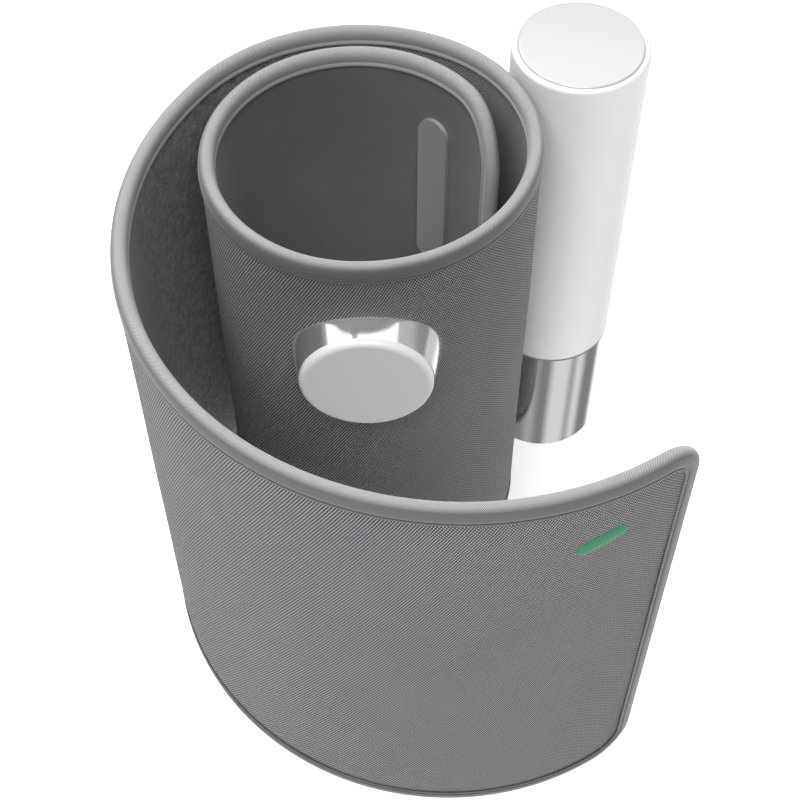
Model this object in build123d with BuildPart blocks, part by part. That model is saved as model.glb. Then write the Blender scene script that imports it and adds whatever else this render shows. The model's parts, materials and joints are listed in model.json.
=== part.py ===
from build123d import *
import os
from math import cos, degrees, radians, sin

# Upper arm blood pressure monitor: a rolled cuff that stands on its lower edge beside a tube.
# Millimetres, +Z up. The origin is the centre of the tube's foot, and the cuff opens towards -Y.

# Tube
tube_radius = 18.5
tube_rise = 2.6
shell_wall = 1.4
band_wall = 1.0
band_top = 46.0
band_chamfer = 0.35
seam_height = 0.8
foot_reveal = 0.4
rim_fillet = 1.1
ledge_drop = 10.6
ledge_height = 1.6
ledge_width = 1.7

# Small clearances: pieces that are fixed to each other, and pieces that move past each other
seat_clearance = 0.05
running_clearance = 0.05
moving_gap = 0.3

# Button at the tube's top end
button_travel = 0.8
button_plate = 2.4
button_skirt_wall = 1.2
button_rise = 0.3
stem_radius = 2.5
collar_radius = 3.3
collar_height = 0.8
guide_plate = 2.5
guide_boss_wall = 2.1
guide_boss_drop = 6.0
switch_side = 6.0
switch_height = 3.4
plunger_radius = 1.6
plunger_height = 0.7
button_board_share = 0.75
stem_rest_gap = 0.1

# Foot of the tube
cap_thickness = 4.0
cap_chamfer = 0.5
screw_spread_share = 0.625
screw_depth_share = -0.375
screw_radius = 1.2
screw_head_radius = 2.4
screw_head_height = 1.6
port_width = 8.9
port_height = 3.2
port_length = 7.3
port_inset = 0.8
port_shell = 0.35
port_back = 1.0
port_tongue = 0.7

# Frame inside the tube and what it carries
frame_gap = 1.1
frame_wall = 1.2
frame_edge = -2.0
shelf_thickness = 1.6
plate_thickness = 2.0
battery_radius_share = 0.4375
battery_share = 0.4
battery_gap = 1.2
battery_pole_radius = 2.5
battery_pole_height = 0.8
motor_radius_share = 0.656
motor_share = 0.22
pump_head_side_share = 1.25
pump_head_share = 0.127
pump_head_corner_share = 0.25
nozzle_radius = 2.0
nozzle_bore = 1.1
nozzle_height = 5.0
sleeve_wall = 0.85
sleeve_share = 0.65
valve_radius_share = 0.25
valve_share = 0.095
frame_drop = 24.6
board_thickness = 1.2
board_width_share = 1.31
board_face_share = 0.5625
board_bottom = 6.0
pressure_sensor_side = 7.0
pressure_sensor_height = 3.0
pressure_sensor_share = 0.845
display_width_share = 0.875
display_share = 0.478
display_level_share = 0.75
display_standoff = 2.4
display_thickness = 1.0
lamp_side = 1.6
lamp_height = 0.8
lamp_pitch_share = 0.083
lamp_rows = 10
lamp_columns = 3

# Saddle that joins the tube to the cuff, and the air connection through it
saddle_gap = 1.17
saddle_width = 16.0
saddle_bottom_share = 0.4
saddle_drop = 12.0
rivet_shares = (0.148, 0.457, 0.951)
rivet_radius = 1.4
rivet_head_radius = 2.6
rivet_head_height = 1.2
hose_rise_share = 0.146
hose_seat = 1.0
hose_end_gap = 1.2
frame_slot_gap = 1.0
hose_wall = 1.0
hose_bend = 6.5
fitting_radius = 2.4
fitting_flange = 4.0
fitting_flange_height = 1.6
barb_length = 4.0

# Cuff wall: headings in degrees along its middle line, which turns left all the way from its inner end
cuff_height = 155.0
cuff_start = 100.0
wall_radii = (50.0, 35.5, 37.5, 38.5, 44.5, 40.0, 51.0, 83.5, 81.0)
wall_sweeps = (10.0, 65.0, 90.0, 90.0, 80.0, 75.0, 85.0, 75.0, 90.0)
saddle_heading = 480.2
outer_fabric = 1.1
stiffener = 0.7
bladder = 0.9
lining = 0.9
bead = 3.9
bead_round = 1.3
binding_width = 4.5
bladder_margin = 10.0
fold_slack = 0.1
inner_corners = (19.0, 19.0)
flap_corners = (13.0, 10.5)

# Upright lines where the cuff bends
inner_fold = 265.0
back_fold = 595.0
front_fold = 670.0

# Contact strips on the inside, and the hook patch inside the flap's end
strip_width = 9.6
strip_length = 55.6
strip_height = 1.2
strip_drop = 45.15
strip_headings = {"contact_strip_front": 328.0, "contact_strip_back": 142.0}
hook_thickness = 0.6
hook_length = 92.0
hook_border = 18.5
hook_corner = 8.0

# Sensor on the front of the inner turn
sensor_heading = 360.0
sensor_x = -56.15
sensor_drop = 35.7
sensor_stand = 7.4
cup_front_radius = 17.25
cup_flare = 2.5
cup_depth_share = 0.33
cup_wall = 1.5
face_inset = 0.25
face_thickness = 1.8
face_round = 1.7
face_spigot = 1.6
carrier_thickness = 1.4
microphone_radius = 4.85
gasket_wall = 1.2

# Sizes that follow from those above
quarter_turn = 90.0
cuff_end = cuff_start + sum(wall_sweeps)
tube_length = cuff_height + tube_rise
ledge_top = tube_length - ledge_drop
frame_top = tube_length - frame_drop
wall = outer_fabric + stiffener + bladder + lining
face_out = wall / 2
face_in = -wall / 2
fabric_in = face_out - outer_fabric
stiffener_in = fabric_in - stiffener
lining_out = face_in + lining
fold_radius = bead / 2 + fold_slack
hook_out = face_in - seat_clearance
hook_height = cuff_height - 2 * hook_border
strip_middle = cuff_height - strip_drop
sensor_z = cuff_height - sensor_drop
cup_radius = cup_front_radius + cup_flare
face_radius = cup_front_radius - face_inset
shell_bore = tube_radius - shell_wall
band_bore = tube_radius - band_wall
shell_bottom = band_top + seam_height
seam_spigot = 3 * seam_height
frame_radius = shell_bore - frame_gap
shell_length = tube_length - shell_bottom
ledge_bore = shell_bore - ledge_width
button_radius = shell_bore - moving_gap
button_board_radius = button_board_share * frame_radius
button_top = tube_length + button_rise
guide_top = ledge_top + guide_plate
boss_bottom = ledge_top - guide_boss_drop
switch_bottom = frame_top + board_thickness
stem_bottom = switch_bottom + switch_height + plunger_height + button_travel + stem_rest_gap
cap_radius = band_bore - seat_clearance
frame_bottom = cap_thickness
frame_inside = frame_radius - frame_wall
plate_top = frame_bottom + plate_thickness
frame_room = frame_top - shelf_thickness - plate_top
screw_spread = screw_spread_share * frame_radius
screw_depth = screw_depth_share * frame_radius
battery_radius = battery_radius_share * frame_radius
battery_length = battery_share * frame_room
motor_radius = motor_radius_share * frame_radius
motor_length = motor_share * frame_room
sleeve_length = sleeve_share * motor_length
pump_head_side = pump_head_side_share * frame_radius
pump_head_corner = pump_head_corner_share * pump_head_side
pump_head_height = pump_head_share * frame_room
valve_length = valve_share * frame_room
valve_radius = valve_radius_share * frame_radius
board_width = board_width_share * frame_radius
board_face = board_face_share * frame_radius
pressure_sensor_level = plate_top + pressure_sensor_share * frame_room
display_width = display_width_share * frame_radius
display_length = display_share * frame_room
display_level = plate_top + display_level_share * frame_room
lamp_pitch = lamp_pitch_share * display_length
saddle_bottom = saddle_bottom_share * cuff_height
saddle_top = cuff_height - saddle_drop
rivet_levels = [saddle_bottom + share * (saddle_top - saddle_bottom) for share in rivet_shares]
battery_y = battery_radius + seat_clearance - frame_inside
pump_shelf = plate_top + battery_length + battery_pole_height + battery_gap
motor_bottom = pump_shelf + shelf_thickness
pump_y = motor_radius + sleeve_wall + seat_clearance - frame_inside
head_bottom = motor_bottom + motor_length
head_top = head_bottom + pump_head_height
hose_level = head_top + hose_rise_share * frame_room
hose_start = head_top + hose_seat
hose_inner = nozzle_radius + seat_clearance
hose_radius = hose_inner + hose_wall
port_y = board_face - port_height / 2
display_face = board_face + board_thickness + display_standoff + display_thickness
lamp_face = display_face + lamp_height
barb_start = shell_bore - fitting_flange_height - barb_length - hose_end_gap
wall_reach = tube_radius + saddle_gap

os.makedirs("parts", exist_ok=True)
pieces = {}


def keep(label, part):
    part.label = label
    pieces[label] = part


def outward(heading):
    return Vector(sin(radians(heading)), -cos(radians(heading)), 0)


# The wall's middle line as arcs that meet tangentially: centre, radius, first and last heading.
# The line is placed so that its outer face passes the tube at the saddle's gap.
def chain_of_arcs():
    arcs = []
    heading = cuff_start
    corner = Vector(0, 0, 0)
    for radius, sweep in zip(wall_radii, wall_sweeps):
        centre = corner - outward(heading) * radius
        arcs.append((centre, radius, heading, heading + sweep))
        heading += sweep
        corner = centre + outward(heading) * radius
    at_saddle = point_on(arcs, saddle_heading, face_out)
    shift = outward(saddle_heading) * -wall_reach - at_saddle
    return [(centre + shift, radius, first, last) for centre, radius, first, last in arcs]


def point_on(arcs, heading, offset):
    for centre, radius, first, last in arcs:
        if first <= heading <= last:
            return centre + outward(heading) * (radius + offset)


wall_arcs = chain_of_arcs()
toward_cuff = outward(saddle_heading) * -1


def wall_point(heading, offset=0.0, height=0.0):
    return point_on(wall_arcs, heading, offset) + Vector(0, 0, height)


def radius_at(heading):
    return min(radius for _, radius, first, last in wall_arcs if first <= heading <= last)


# A strip of the wall in plan, between two headings and two offsets from the middle line
def wall_strip(first, last, inner, outer):
    with BuildSketch() as strip:
        with BuildLine():
            for centre, radius, arc_first, arc_last in wall_arcs:
                start = max(first, arc_first)
                end = min(last, arc_last)
                if start < end:
                    CenterArc(centre, radius + outer, start - quarter_turn, end - start)
                    CenterArc(centre, radius + inner, start - quarter_turn, end - start)
            Line(wall_point(first, inner), wall_point(first, outer))
            Line(wall_point(last, inner), wall_point(last, outer))
        make_face()
    return strip.sketch


# Parts of the cuff: first and last heading, how each end is made, and the free end's corner
segments = {
    "inner_end": (cuff_start, inner_fold, "free", "round", inner_corners),
    "shoulder": (inner_fold, back_fold, "hollow", "hollow", 0),
    "flap_root": (back_fold, front_fold, "round", "hollow", 0),
    "flap_end": (front_fold, cuff_end, "round", "free", flap_corners),
}
fold_angle = degrees(fold_radius / min(wall_radii)) + 1


# Plan of one layer of a segment. At a bending line the moving part ends in a half round,
# which turns inside the hollow end of the part that carries it.
def layer_plan(first, last, first_kind, last_kind, inner, outer):
    ends = ((first, first_kind, -1), (last, last_kind, 1))
    with BuildSketch() as plan:
        for heading, kind, side in ends:
            if kind == "round":
                beyond = heading + side * fold_angle
                add(wall_strip(min(heading, beyond), max(heading, beyond), inner, outer))
                with Locations(wall_point(heading)):
                    Circle(fold_radius, mode=Mode.INTERSECT)
        add(wall_strip(first, last, inner, outer))
        for heading, kind, _ in ends:
            if kind == "hollow":
                with Locations(wall_point(heading)):
                    Circle(fold_radius + moving_gap, mode=Mode.SUBTRACT)
    return plan.sketch


# Cutter for one corner of a wall piece: what lies outside a quarter circle, right through the wall.
# Side is 1 where the piece ends with the headings and -1 where it begins, up is 1 at the top.
def corner_cut(heading, side, height, up, radius):
    along = Vector(0, 0, 1).cross(outward(heading)) * side
    vertical = Vector(0, 0, up)
    centre = wall_point(heading, 0, height) - (along + vertical) * radius
    with BuildPart() as cut:
        with BuildSketch(Plane(origin=centre, x_dir=along, z_dir=along.cross(vertical))):
            Rectangle(2 * radius, 2 * radius, align=(Align.MIN, Align.MIN))
            Circle(radius, mode=Mode.SUBTRACT)
        extrude(amount=radius, both=True)
    return cut.part


# Cutters for the corners of a segment's free end, if it has one
def corner_cuts(segment, margin):
    first, last, first_kind, last_kind, corners = segments[segment]
    cuts = []
    for heading, kind, side in ((first, first_kind, -1), (last, last_kind, 1)):
        if kind == "free":
            end = heading - side * degrees(margin / radius_at(heading))
            cuts.append(corner_cut(end, side, margin, -1, corners[0] - margin))
            cuts.append(corner_cut(end, side, cuff_height - margin, 1, corners[1] - margin))
    return cuts


# One layer of a segment, stepped back by a margin from the bound edges
def wall_layer(segment, inner, outer, margin):
    first, last, first_kind, last_kind, _ = segments[segment]
    if first_kind == "free":
        first += degrees(margin / radius_at(first))
    if last_kind == "free":
        last -= degrees(margin / radius_at(last))
    with BuildPart() as layer:
        with BuildSketch(Plane.XY.offset(margin)):
            add(layer_plan(first, last, first_kind, last_kind, inner, outer))
        extrude(amount=cuff_height - 2 * margin)
        for cut in corner_cuts(segment, margin):
            add(cut, mode=Mode.SUBTRACT)
    return layer.part


# Bound edge of a segment: a rounded band along its top and bottom, and round its free end.
# The whole plate is rounded first, then trimmed at the bending lines and opened for the fabric.
def edge_binding(segment):
    first, last, first_kind, last_kind, _ = segments[segment]
    plate_first = first - fold_angle if first_kind == "round" else first
    plate_last = last + fold_angle if last_kind == "round" else last
    panel = wall_layer(segment, -bead, bead, binding_width)
    with BuildPart() as trim:
        with BuildSketch():
            add(layer_plan(first, last, first_kind, last_kind, -bead, bead))
        extrude(amount=cuff_height)
    with BuildPart() as binding:
        with BuildSketch():
            add(wall_strip(plate_first, plate_last, -bead / 2, bead / 2))
        extrude(amount=cuff_height)
        for cut in corner_cuts(segment, 0):
            add(cut, mode=Mode.SUBTRACT)
        curved = binding.edges().filter_by(GeomType.LINE, reverse=True)
        upright = binding.edges().filter_by(lambda edge: 2 * bead < edge.length < cuff_height - bead)
        fillet(curved + upright.filter_by(GeomType.LINE), bead_round)
        add(trim.part, mode=Mode.INTERSECT)
        add(panel, mode=Mode.SUBTRACT)
    return binding.part


# Plane that looks from the tube's axis towards the cuff at one height
def saddle_plane(height):
    return Plane(origin=(0, 0, height), x_dir=(0, 0, 1), z_dir=toward_cuff)


# Round bar along the saddle's direction, from one distance from the tube's axis to another
def saddle_bar(height, radius, start, end):
    with BuildPart() as bar:
        with BuildSketch(saddle_plane(height).offset(start)):
            Circle(radius)
        extrude(amount=end - start)
    return bar.part


screw_planes = [
    Plane(origin=(x, screw_depth, 0), z_dir=(0, 0, -1)) for x in (-screw_spread, screw_spread)
]
air_hole = saddle_bar(hose_level, fitting_radius + seat_clearance, 0, wall_reach + wall)
rivet_holes = [
    saddle_bar(level, rivet_radius + seat_clearance, 0, wall_reach + wall) for level in rivet_levels
]

# Shell of the tube, with the ledge that the button's guide sits on
with BuildPart() as tube_shell:
    with BuildSketch(Plane.XY.offset(shell_bottom)):
        Circle(tube_radius)
        Circle(shell_bore, mode=Mode.SUBTRACT)
    extrude(amount=shell_length)
    with BuildSketch(Plane.XY.offset(ledge_top - ledge_height)):
        Circle(tube_radius - shell_wall / 2)
        Circle(ledge_bore, mode=Mode.SUBTRACT)
    extrude(amount=ledge_height)
    fillet(tube_shell.edges().group_by(Axis.Z)[-1].sort_by(SortBy.RADIUS)[-1], rim_fillet)
    add(air_hole, mode=Mode.SUBTRACT)
    add(rivet_holes, mode=Mode.SUBTRACT)
keep("tube_shell", tube_shell.part)

# Steel sleeve at the foot, which is a contact for the hand
with BuildPart() as contact_band:
    with BuildSketch(Plane.XY.offset(foot_reveal)):
        Circle(tube_radius)
        Circle(band_bore, mode=Mode.SUBTRACT)
    extrude(amount=band_top - foot_reveal)
    chamfer(contact_band.edges().group_by(Axis.Z)[0].sort_by(SortBy.RADIUS)[-1], band_chamfer)
keep("contact_band", contact_band.part)

# Ring that parts the steel sleeve from the shell, with a spigot into each
with BuildPart() as seam_ring:
    with BuildSketch(Plane.XY.offset(band_top - seam_spigot)):
        Circle(band_bore - seat_clearance)
        Circle(frame_radius + seat_clearance, mode=Mode.SUBTRACT)
    extrude(amount=seam_spigot)
    with BuildSketch(Plane.XY.offset(band_top)):
        Circle(tube_radius - foot_reveal)
        Circle(frame_radius + seat_clearance, mode=Mode.SUBTRACT)
    extrude(amount=seam_height)
    with BuildSketch(Plane.XY.offset(shell_bottom)):
        Circle(shell_bore - seat_clearance)
        Circle(frame_radius + seat_clearance, mode=Mode.SUBTRACT)
    extrude(amount=seam_spigot)
keep("seam_ring", seam_ring.part)

# Cap that closes the foot, with the charging opening and two sunk screws
with BuildPart() as bottom_cap:
    with BuildSketch():
        Circle(cap_radius)
    extrude(amount=cap_thickness)
    chamfer(bottom_cap.edges().group_by(Axis.Z)[0], cap_chamfer)
    with BuildSketch():
        with Locations((0, port_y)):
            SlotOverall(port_width + 2 * moving_gap, port_height + 2 * moving_gap)
    extrude(amount=cap_thickness, mode=Mode.SUBTRACT)
    with Locations(screw_planes):
        CounterBoreHole(
            radius=screw_radius + seat_clearance,
            counter_bore_radius=screw_head_radius + moving_gap,
            counter_bore_depth=foot_reveal + screw_head_height,
        )
keep("bottom_cap", bottom_cap.part)

# Screws that hold the frame to the cap
with BuildPart() as frame_screws:
    with BuildSketch(*[plane.offset(-foot_reveal) for plane in screw_planes]):
        Circle(screw_head_radius)
    extrude(amount=-screw_head_height)
    with BuildSketch(*[plane.offset(-foot_reveal - screw_head_height) for plane in screw_planes]):
        Circle(screw_radius)
    extrude(amount=foot_reveal + screw_head_height - plate_top)
keep("frame_screws", frame_screws.part)

# Frame: half a tube with cross shelves, cut away where the board, the air way and the rivets are
with BuildPart() as inner_frame:
    with BuildSketch(Plane.XY.offset(frame_bottom)):
        Circle(frame_radius)
        Circle(frame_inside, mode=Mode.SUBTRACT)
        with Locations((0, frame_edge)):
            Rectangle(
                2 * frame_radius, 2 * frame_radius, align=(Align.CENTER, Align.MIN), mode=Mode.SUBTRACT
            )
    extrude(amount=frame_top - frame_bottom)
    for level, thickness in (
        (frame_bottom, plate_thickness),
        (pump_shelf, shelf_thickness),
        (frame_top - shelf_thickness, shelf_thickness),
    ):
        with BuildSketch(Plane.XY.offset(level)):
            Circle(frame_radius)
            if level == pump_shelf:
                with Locations((0, board_face - seat_clearance)):
                    Rectangle(
                        2 * frame_radius, frame_radius, align=(Align.CENTER, Align.MIN), mode=Mode.SUBTRACT
                    )
        extrude(amount=thickness)
    with BuildSketch(Plane.XY.offset(frame_bottom)):
        with Locations((0, port_y)):
            SlotOverall(port_width + 2 * moving_gap, port_height + 2 * moving_gap)
    extrude(amount=plate_thickness, mode=Mode.SUBTRACT)
    with BuildSketch(*[plane.offset(-frame_bottom) for plane in screw_planes]):
        Circle(screw_radius + seat_clearance)
    extrude(amount=-plate_thickness, mode=Mode.SUBTRACT)
    slot_bottom = rivet_levels[0] - 2 * rivet_head_radius
    slot_top = frame_top - 2 * shelf_thickness
    with BuildSketch(saddle_plane((slot_bottom + slot_top) / 2).offset(frame_radius / 2)):
        SlotOverall(slot_top - slot_bottom, 2 * (fitting_flange + frame_slot_gap))
    extrude(amount=frame_radius, mode=Mode.SUBTRACT)
keep("inner_frame", inner_frame.part)

# Charging socket: a flat oval sleeve with its tongue, open downwards
with BuildPart() as charging_port:
    with BuildSketch(Plane.XY.offset(port_inset)):
        with Locations((0, port_y)):
            SlotOverall(port_width, port_height)
            SlotOverall(port_width - 2 * port_shell, port_height - 2 * port_shell, mode=Mode.SUBTRACT)
    extrude(amount=port_length)
    with BuildSketch(Plane.XY.offset(port_inset + port_length - port_back)):
        with Locations((0, port_y)):
            SlotOverall(port_width, port_height)
    extrude(amount=port_back)
    with BuildSketch(Plane.XY.offset(port_inset + port_back)):
        with Locations((0, port_y)):
            Rectangle(port_width - port_height + port_tongue, port_tongue)
    extrude(amount=port_length - port_back)
keep("charging_port", charging_port.part)

# Circuit board, upright behind the pump
board_top = frame_top - shelf_thickness - moving_gap
with BuildPart() as main_board:
    with BuildSketch(Plane.XY.offset(board_bottom)):
        with Locations((0, board_face + board_thickness / 2)):
            Rectangle(board_width, board_thickness)
    extrude(amount=board_top - board_bottom)
    fillet(main_board.edges().filter_by(Axis.Y), board_thickness)
keep("main_board", main_board.part)

# Battery cell with its raised pole
with BuildPart() as battery:
    with BuildSketch(Plane.XY.offset(plate_top)):
        with Locations((0, battery_y)):
            Circle(battery_radius)
    extrude(amount=battery_length)
    fillet(battery.edges().filter_by(GeomType.CIRCLE), battery_pole_height)
    with BuildSketch(Plane.XY.offset(plate_top + battery_length)):
        with Locations((0, battery_y)):
            Circle(battery_pole_radius)
    extrude(amount=battery_pole_height)
keep("battery", battery.part)

# Motor of the air pump, and the pump head with its outlet on the tube's axis
with BuildPart() as pump_motor:
    with BuildSketch(Plane.XY.offset(motor_bottom)):
        with Locations((0, pump_y)):
            Circle(motor_radius)
    extrude(amount=motor_length)
    chamfer(pump_motor.edges().group_by(Axis.Z)[0], board_thickness)
keep("pump_motor", pump_motor.part)

with BuildPart() as pump_sleeve:
    with BuildSketch(Plane.XY.offset(motor_bottom + (motor_length - sleeve_length) / 2)):
        with Locations((0, pump_y)):
            Circle(motor_radius + seat_clearance + sleeve_wall)
            Circle(motor_radius + seat_clearance, mode=Mode.SUBTRACT)
    extrude(amount=sleeve_length)
keep("pump_sleeve", pump_sleeve.part)

with BuildPart() as pump_head:
    with BuildSketch(Plane.XY.offset(head_bottom)):
        with Locations((0, pump_y)):
            RectangleRounded(pump_head_side, pump_head_side, pump_head_corner)
    extrude(amount=pump_head_height)
    fillet(pump_head.edges().group_by(Axis.Z)[-1], board_thickness)
    with BuildSketch(Plane.XY.offset(head_top)):
        Circle(nozzle_radius)
    extrude(amount=nozzle_height)
    with BuildSketch(Plane.XY.offset(head_top + nozzle_height)):
        Circle(nozzle_bore)
    extrude(amount=-2 * nozzle_height, mode=Mode.SUBTRACT)
keep("pump_head", pump_head.part)

# Valve that lets the air out, on top of the pump head
with BuildPart() as exhaust_valve:
    valve_y = pump_y - pump_head_side / 2 + valve_radius + board_thickness
    with BuildSketch(Plane.XY.offset(head_top)):
        with Locations((0, valve_y)):
            Circle(valve_radius)
    extrude(amount=valve_length)
    chamfer(exhaust_valve.edges().group_by(Axis.Z)[-1], board_thickness / 2)
keep("exhaust_valve", exhaust_valve.part)

# Pressure sensor on the inner side of the board
with BuildPart() as pressure_sensor:
    with BuildSketch(Plane.XZ.offset(-board_face)):
        with Locations((board_width / 4, pressure_sensor_level)):
            Rectangle(pressure_sensor_side, pressure_sensor_side)
    extrude(amount=pressure_sensor_height)
    with BuildSketch(Plane.XZ.offset(pressure_sensor_height - board_face)):
        with Locations((board_width / 4, pressure_sensor_level)):
            Circle(nozzle_radius / 2)
    extrude(amount=board_thickness)
keep("pressure_sensor", pressure_sensor.part)

# Light board on standoffs in front of the main board, with rows of lamps
with BuildPart() as display_board:
    with BuildSketch(Plane.XZ.offset(display_thickness - display_face)):
        with Locations((0, display_level)):
            Rectangle(display_width, display_length)
    extrude(amount=-display_thickness)
    with BuildSketch(Plane.XZ.offset(-board_face - board_thickness)):
        with Locations((0, display_level)):
            with GridLocations(0, display_length - display_standoff * 2, 1, 2):
                Rectangle(display_width, display_standoff)
    extrude(amount=-display_standoff)
    with BuildSketch(Plane.XZ.offset(-display_face)):
        with Locations((0, display_level)):
            with GridLocations(lamp_pitch, lamp_pitch, lamp_columns, lamp_rows):
                Rectangle(lamp_side, lamp_side)
    extrude(amount=-lamp_height)
keep("display_board", display_board.part)

# Light guide between the lamps and the shell's wall
with BuildPart() as light_guide:
    with BuildSketch(Plane.XY.offset(display_level - display_length / 2)):
        Circle(shell_bore - seat_clearance)
        with Locations((0, (lamp_face + shell_bore) / 2)):
            Rectangle(display_width, shell_bore - lamp_face, mode=Mode.INTERSECT)
    extrude(amount=display_length)
keep("light_guide", light_guide.part)

# Hose from the pump's outlet, bent once towards the cuff
hose_plane = Plane(origin=(0, 0, 0), x_dir=toward_cuff, z_dir=toward_cuff.cross(Vector(0, 0, 1)))
hose_end = barb_start + barb_length


def hose_body(radius):
    with BuildPart() as body:
        with BuildLine(hose_plane):
            rise = Line((0, hose_start), (0, hose_level - hose_bend))
            bend = JernArc(rise @ 1, rise % 1, hose_bend, -quarter_turn)
            Line(bend @ 1, (hose_end, hose_level))
        with BuildSketch(Plane.XY.offset(hose_start)):
            Circle(radius)
        sweep()
    return body.part


with BuildPart() as air_hose:
    add(hose_body(hose_radius))
    add(hose_body(hose_inner), mode=Mode.SUBTRACT)
keep("air_hose", air_hose.part)

# Fitting that takes the air through shell, saddle and cuff wall into the bladder
fitting_end = wall_reach + outer_fabric + stiffener + bladder / 2
with BuildPart() as hose_fitting:
    for start, end, radius in (
        (barb_start, hose_end, nozzle_radius),
        (hose_end, hose_end + fitting_flange_height, fitting_flange),
        (hose_end + fitting_flange_height, fitting_end, fitting_radius),
    ):
        with BuildSketch(saddle_plane(hose_level).offset(start)):
            Circle(radius)
        extrude(amount=end - start)
    with BuildSketch(saddle_plane(hose_level).offset(barb_start)):
        Circle(nozzle_bore)
    extrude(amount=fitting_end - barb_start, mode=Mode.SUBTRACT)
keep("hose_fitting", hose_fitting.part)

# Saddle between the tube and the cuff: hollowed to the tube on one side and to the wall on the other
saddle_turn = degrees(saddle_width / radius_at(saddle_heading)) / 2
wall_turn = 3 * saddle_turn
wall_side = wall_strip(saddle_heading - wall_turn, saddle_heading + wall_turn, face_in - wall, face_out)
with BuildPart() as tube_saddle:
    with BuildSketch(Plane.XY.offset(saddle_bottom)):
        with Locations(Location(toward_cuff * wall_reach, (0, 0, saddle_heading))):
            Rectangle(saddle_width, 4 * wall)
        Circle(tube_radius + seat_clearance, mode=Mode.SUBTRACT)
        add(wall_side, mode=Mode.SUBTRACT)
    extrude(amount=saddle_top - saddle_bottom)
    add(air_hole, mode=Mode.SUBTRACT)
    add(rivet_holes, mode=Mode.SUBTRACT)
keep("tube_saddle", tube_saddle.part)

# Rivets with their heads inside the tube, through to the stiffener of the cuff
rivet_head_start = shell_bore - rivet_head_height - 2 * moving_gap
with BuildPart() as saddle_rivets:
    for level in rivet_levels:
        add(saddle_bar(level, rivet_head_radius, rivet_head_start, rivet_head_start + rivet_head_height))
        add(saddle_bar(level, rivet_radius, rivet_head_start, wall_reach + outer_fabric + stiffener))
keep("saddle_rivets", saddle_rivets.part)

# Button: round cap with a skirt, and a stem that runs in the guide down to the switch
with BuildPart() as button_cap:
    with BuildSketch(Plane.XY.offset(button_top - button_plate)):
        Circle(button_radius)
    extrude(amount=button_plate)
    fillet(button_cap.edges().group_by(Axis.Z)[-1], rim_fillet / 2)
    skirt_bottom = guide_top + button_travel + moving_gap
    with BuildSketch(Plane.XY.offset(skirt_bottom)):
        Circle(button_radius)
        Circle(button_radius - button_skirt_wall, mode=Mode.SUBTRACT)
    extrude(amount=button_top - button_plate - skirt_bottom)
    with BuildSketch(Plane.XY.offset(stem_bottom)):
        Circle(stem_radius)
    extrude(amount=button_top - button_plate - stem_bottom)
    with BuildSketch(Plane.XY.offset(boss_bottom - collar_height - moving_gap / 2)):
        Circle(collar_radius)
    extrude(amount=collar_height)
keep("button_cap", button_cap.part)

# Guide of the button, on the shell's ledge
with BuildPart() as button_guide:
    with BuildSketch(Plane.XY.offset(ledge_top)):
        Circle(shell_bore - seat_clearance)
    extrude(amount=guide_plate)
    with BuildSketch(Plane.XY.offset(boss_bottom)):
        Circle(stem_radius + running_clearance + guide_boss_wall)
    extrude(amount=guide_boss_drop)
    with BuildSketch(Plane.XY.offset(boss_bottom)):
        Circle(stem_radius + running_clearance)
    extrude(amount=guide_boss_drop + guide_plate, mode=Mode.SUBTRACT)
keep("button_guide", button_guide.part)

# Small board on top of the frame, with the switch under the stem
with BuildPart() as button_board:
    with BuildSketch(Plane.XY.offset(frame_top)):
        Circle(button_board_radius)
    extrude(amount=board_thickness)
keep("button_board", button_board.part)

with BuildPart() as button_switch:
    with BuildSketch(Plane.XY.offset(switch_bottom)):
        Rectangle(switch_side, switch_side)
    extrude(amount=switch_height)
    with BuildSketch(Plane.XY.offset(switch_bottom + switch_height)):
        Circle(plunger_radius)
    extrude(amount=plunger_height)
keep("button_switch", button_switch.part)

# Layers of each part of the cuff, from the outside in, and its bound edge
for segment in segments:
    has_bladder = segment == "shoulder"
    core_in = stiffener_in if has_bladder else lining_out
    with BuildPart() as fabric:
        add(wall_layer(segment, fabric_in, face_out, binding_width))
        if has_bladder:
            add(air_hole, mode=Mode.SUBTRACT)
            add(rivet_holes, mode=Mode.SUBTRACT)
    keep("outer_fabric_" + segment, fabric.part)
    with BuildPart() as spring_sheet:
        add(wall_layer(segment, core_in, fabric_in, binding_width))
        if has_bladder:
            add(air_hole, mode=Mode.SUBTRACT)
            add(rivet_holes, mode=Mode.SUBTRACT)
    keep("stiffener_" + segment, spring_sheet.part)
    keep("lining_" + segment, wall_layer(segment, face_in, lining_out, binding_width))
    keep("edge_binding_" + segment, edge_binding(segment))

# Air bladder inside the shoulder, with its inlet
bladder_turn = degrees(bladder_margin / radius_at(inner_fold))
with BuildPart() as air_bladder:
    with BuildSketch(Plane.XY.offset(bladder_margin)):
        add(wall_strip(inner_fold + bladder_turn, back_fold - bladder_turn, lining_out, stiffener_in))
    extrude(amount=cuff_height - 2 * bladder_margin)
    add(air_hole, mode=Mode.SUBTRACT)
keep("air_bladder", air_bladder.part)

# Metal contact strips with round ends on the inside of the inner turn
for label, heading in strip_headings.items():
    strip_turn = degrees(strip_width / radius_at(heading))
    strip_out = Plane(origin=wall_point(heading, 0, strip_middle), x_dir=(0, 0, 1), z_dir=outward(heading))
    with BuildPart() as contact_strip:
        with BuildSketch(Plane.XY.offset(strip_middle - strip_length)):
            add(wall_strip(heading - strip_turn, heading + strip_turn, face_in - strip_height, face_in))
        extrude(amount=2 * strip_length)
        with BuildSketch(strip_out):
            SlotOverall(strip_length, strip_width)
        extrude(amount=2 * bead, both=True, mode=Mode.INTERSECT)
    keep(label, contact_strip.part)

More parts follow.
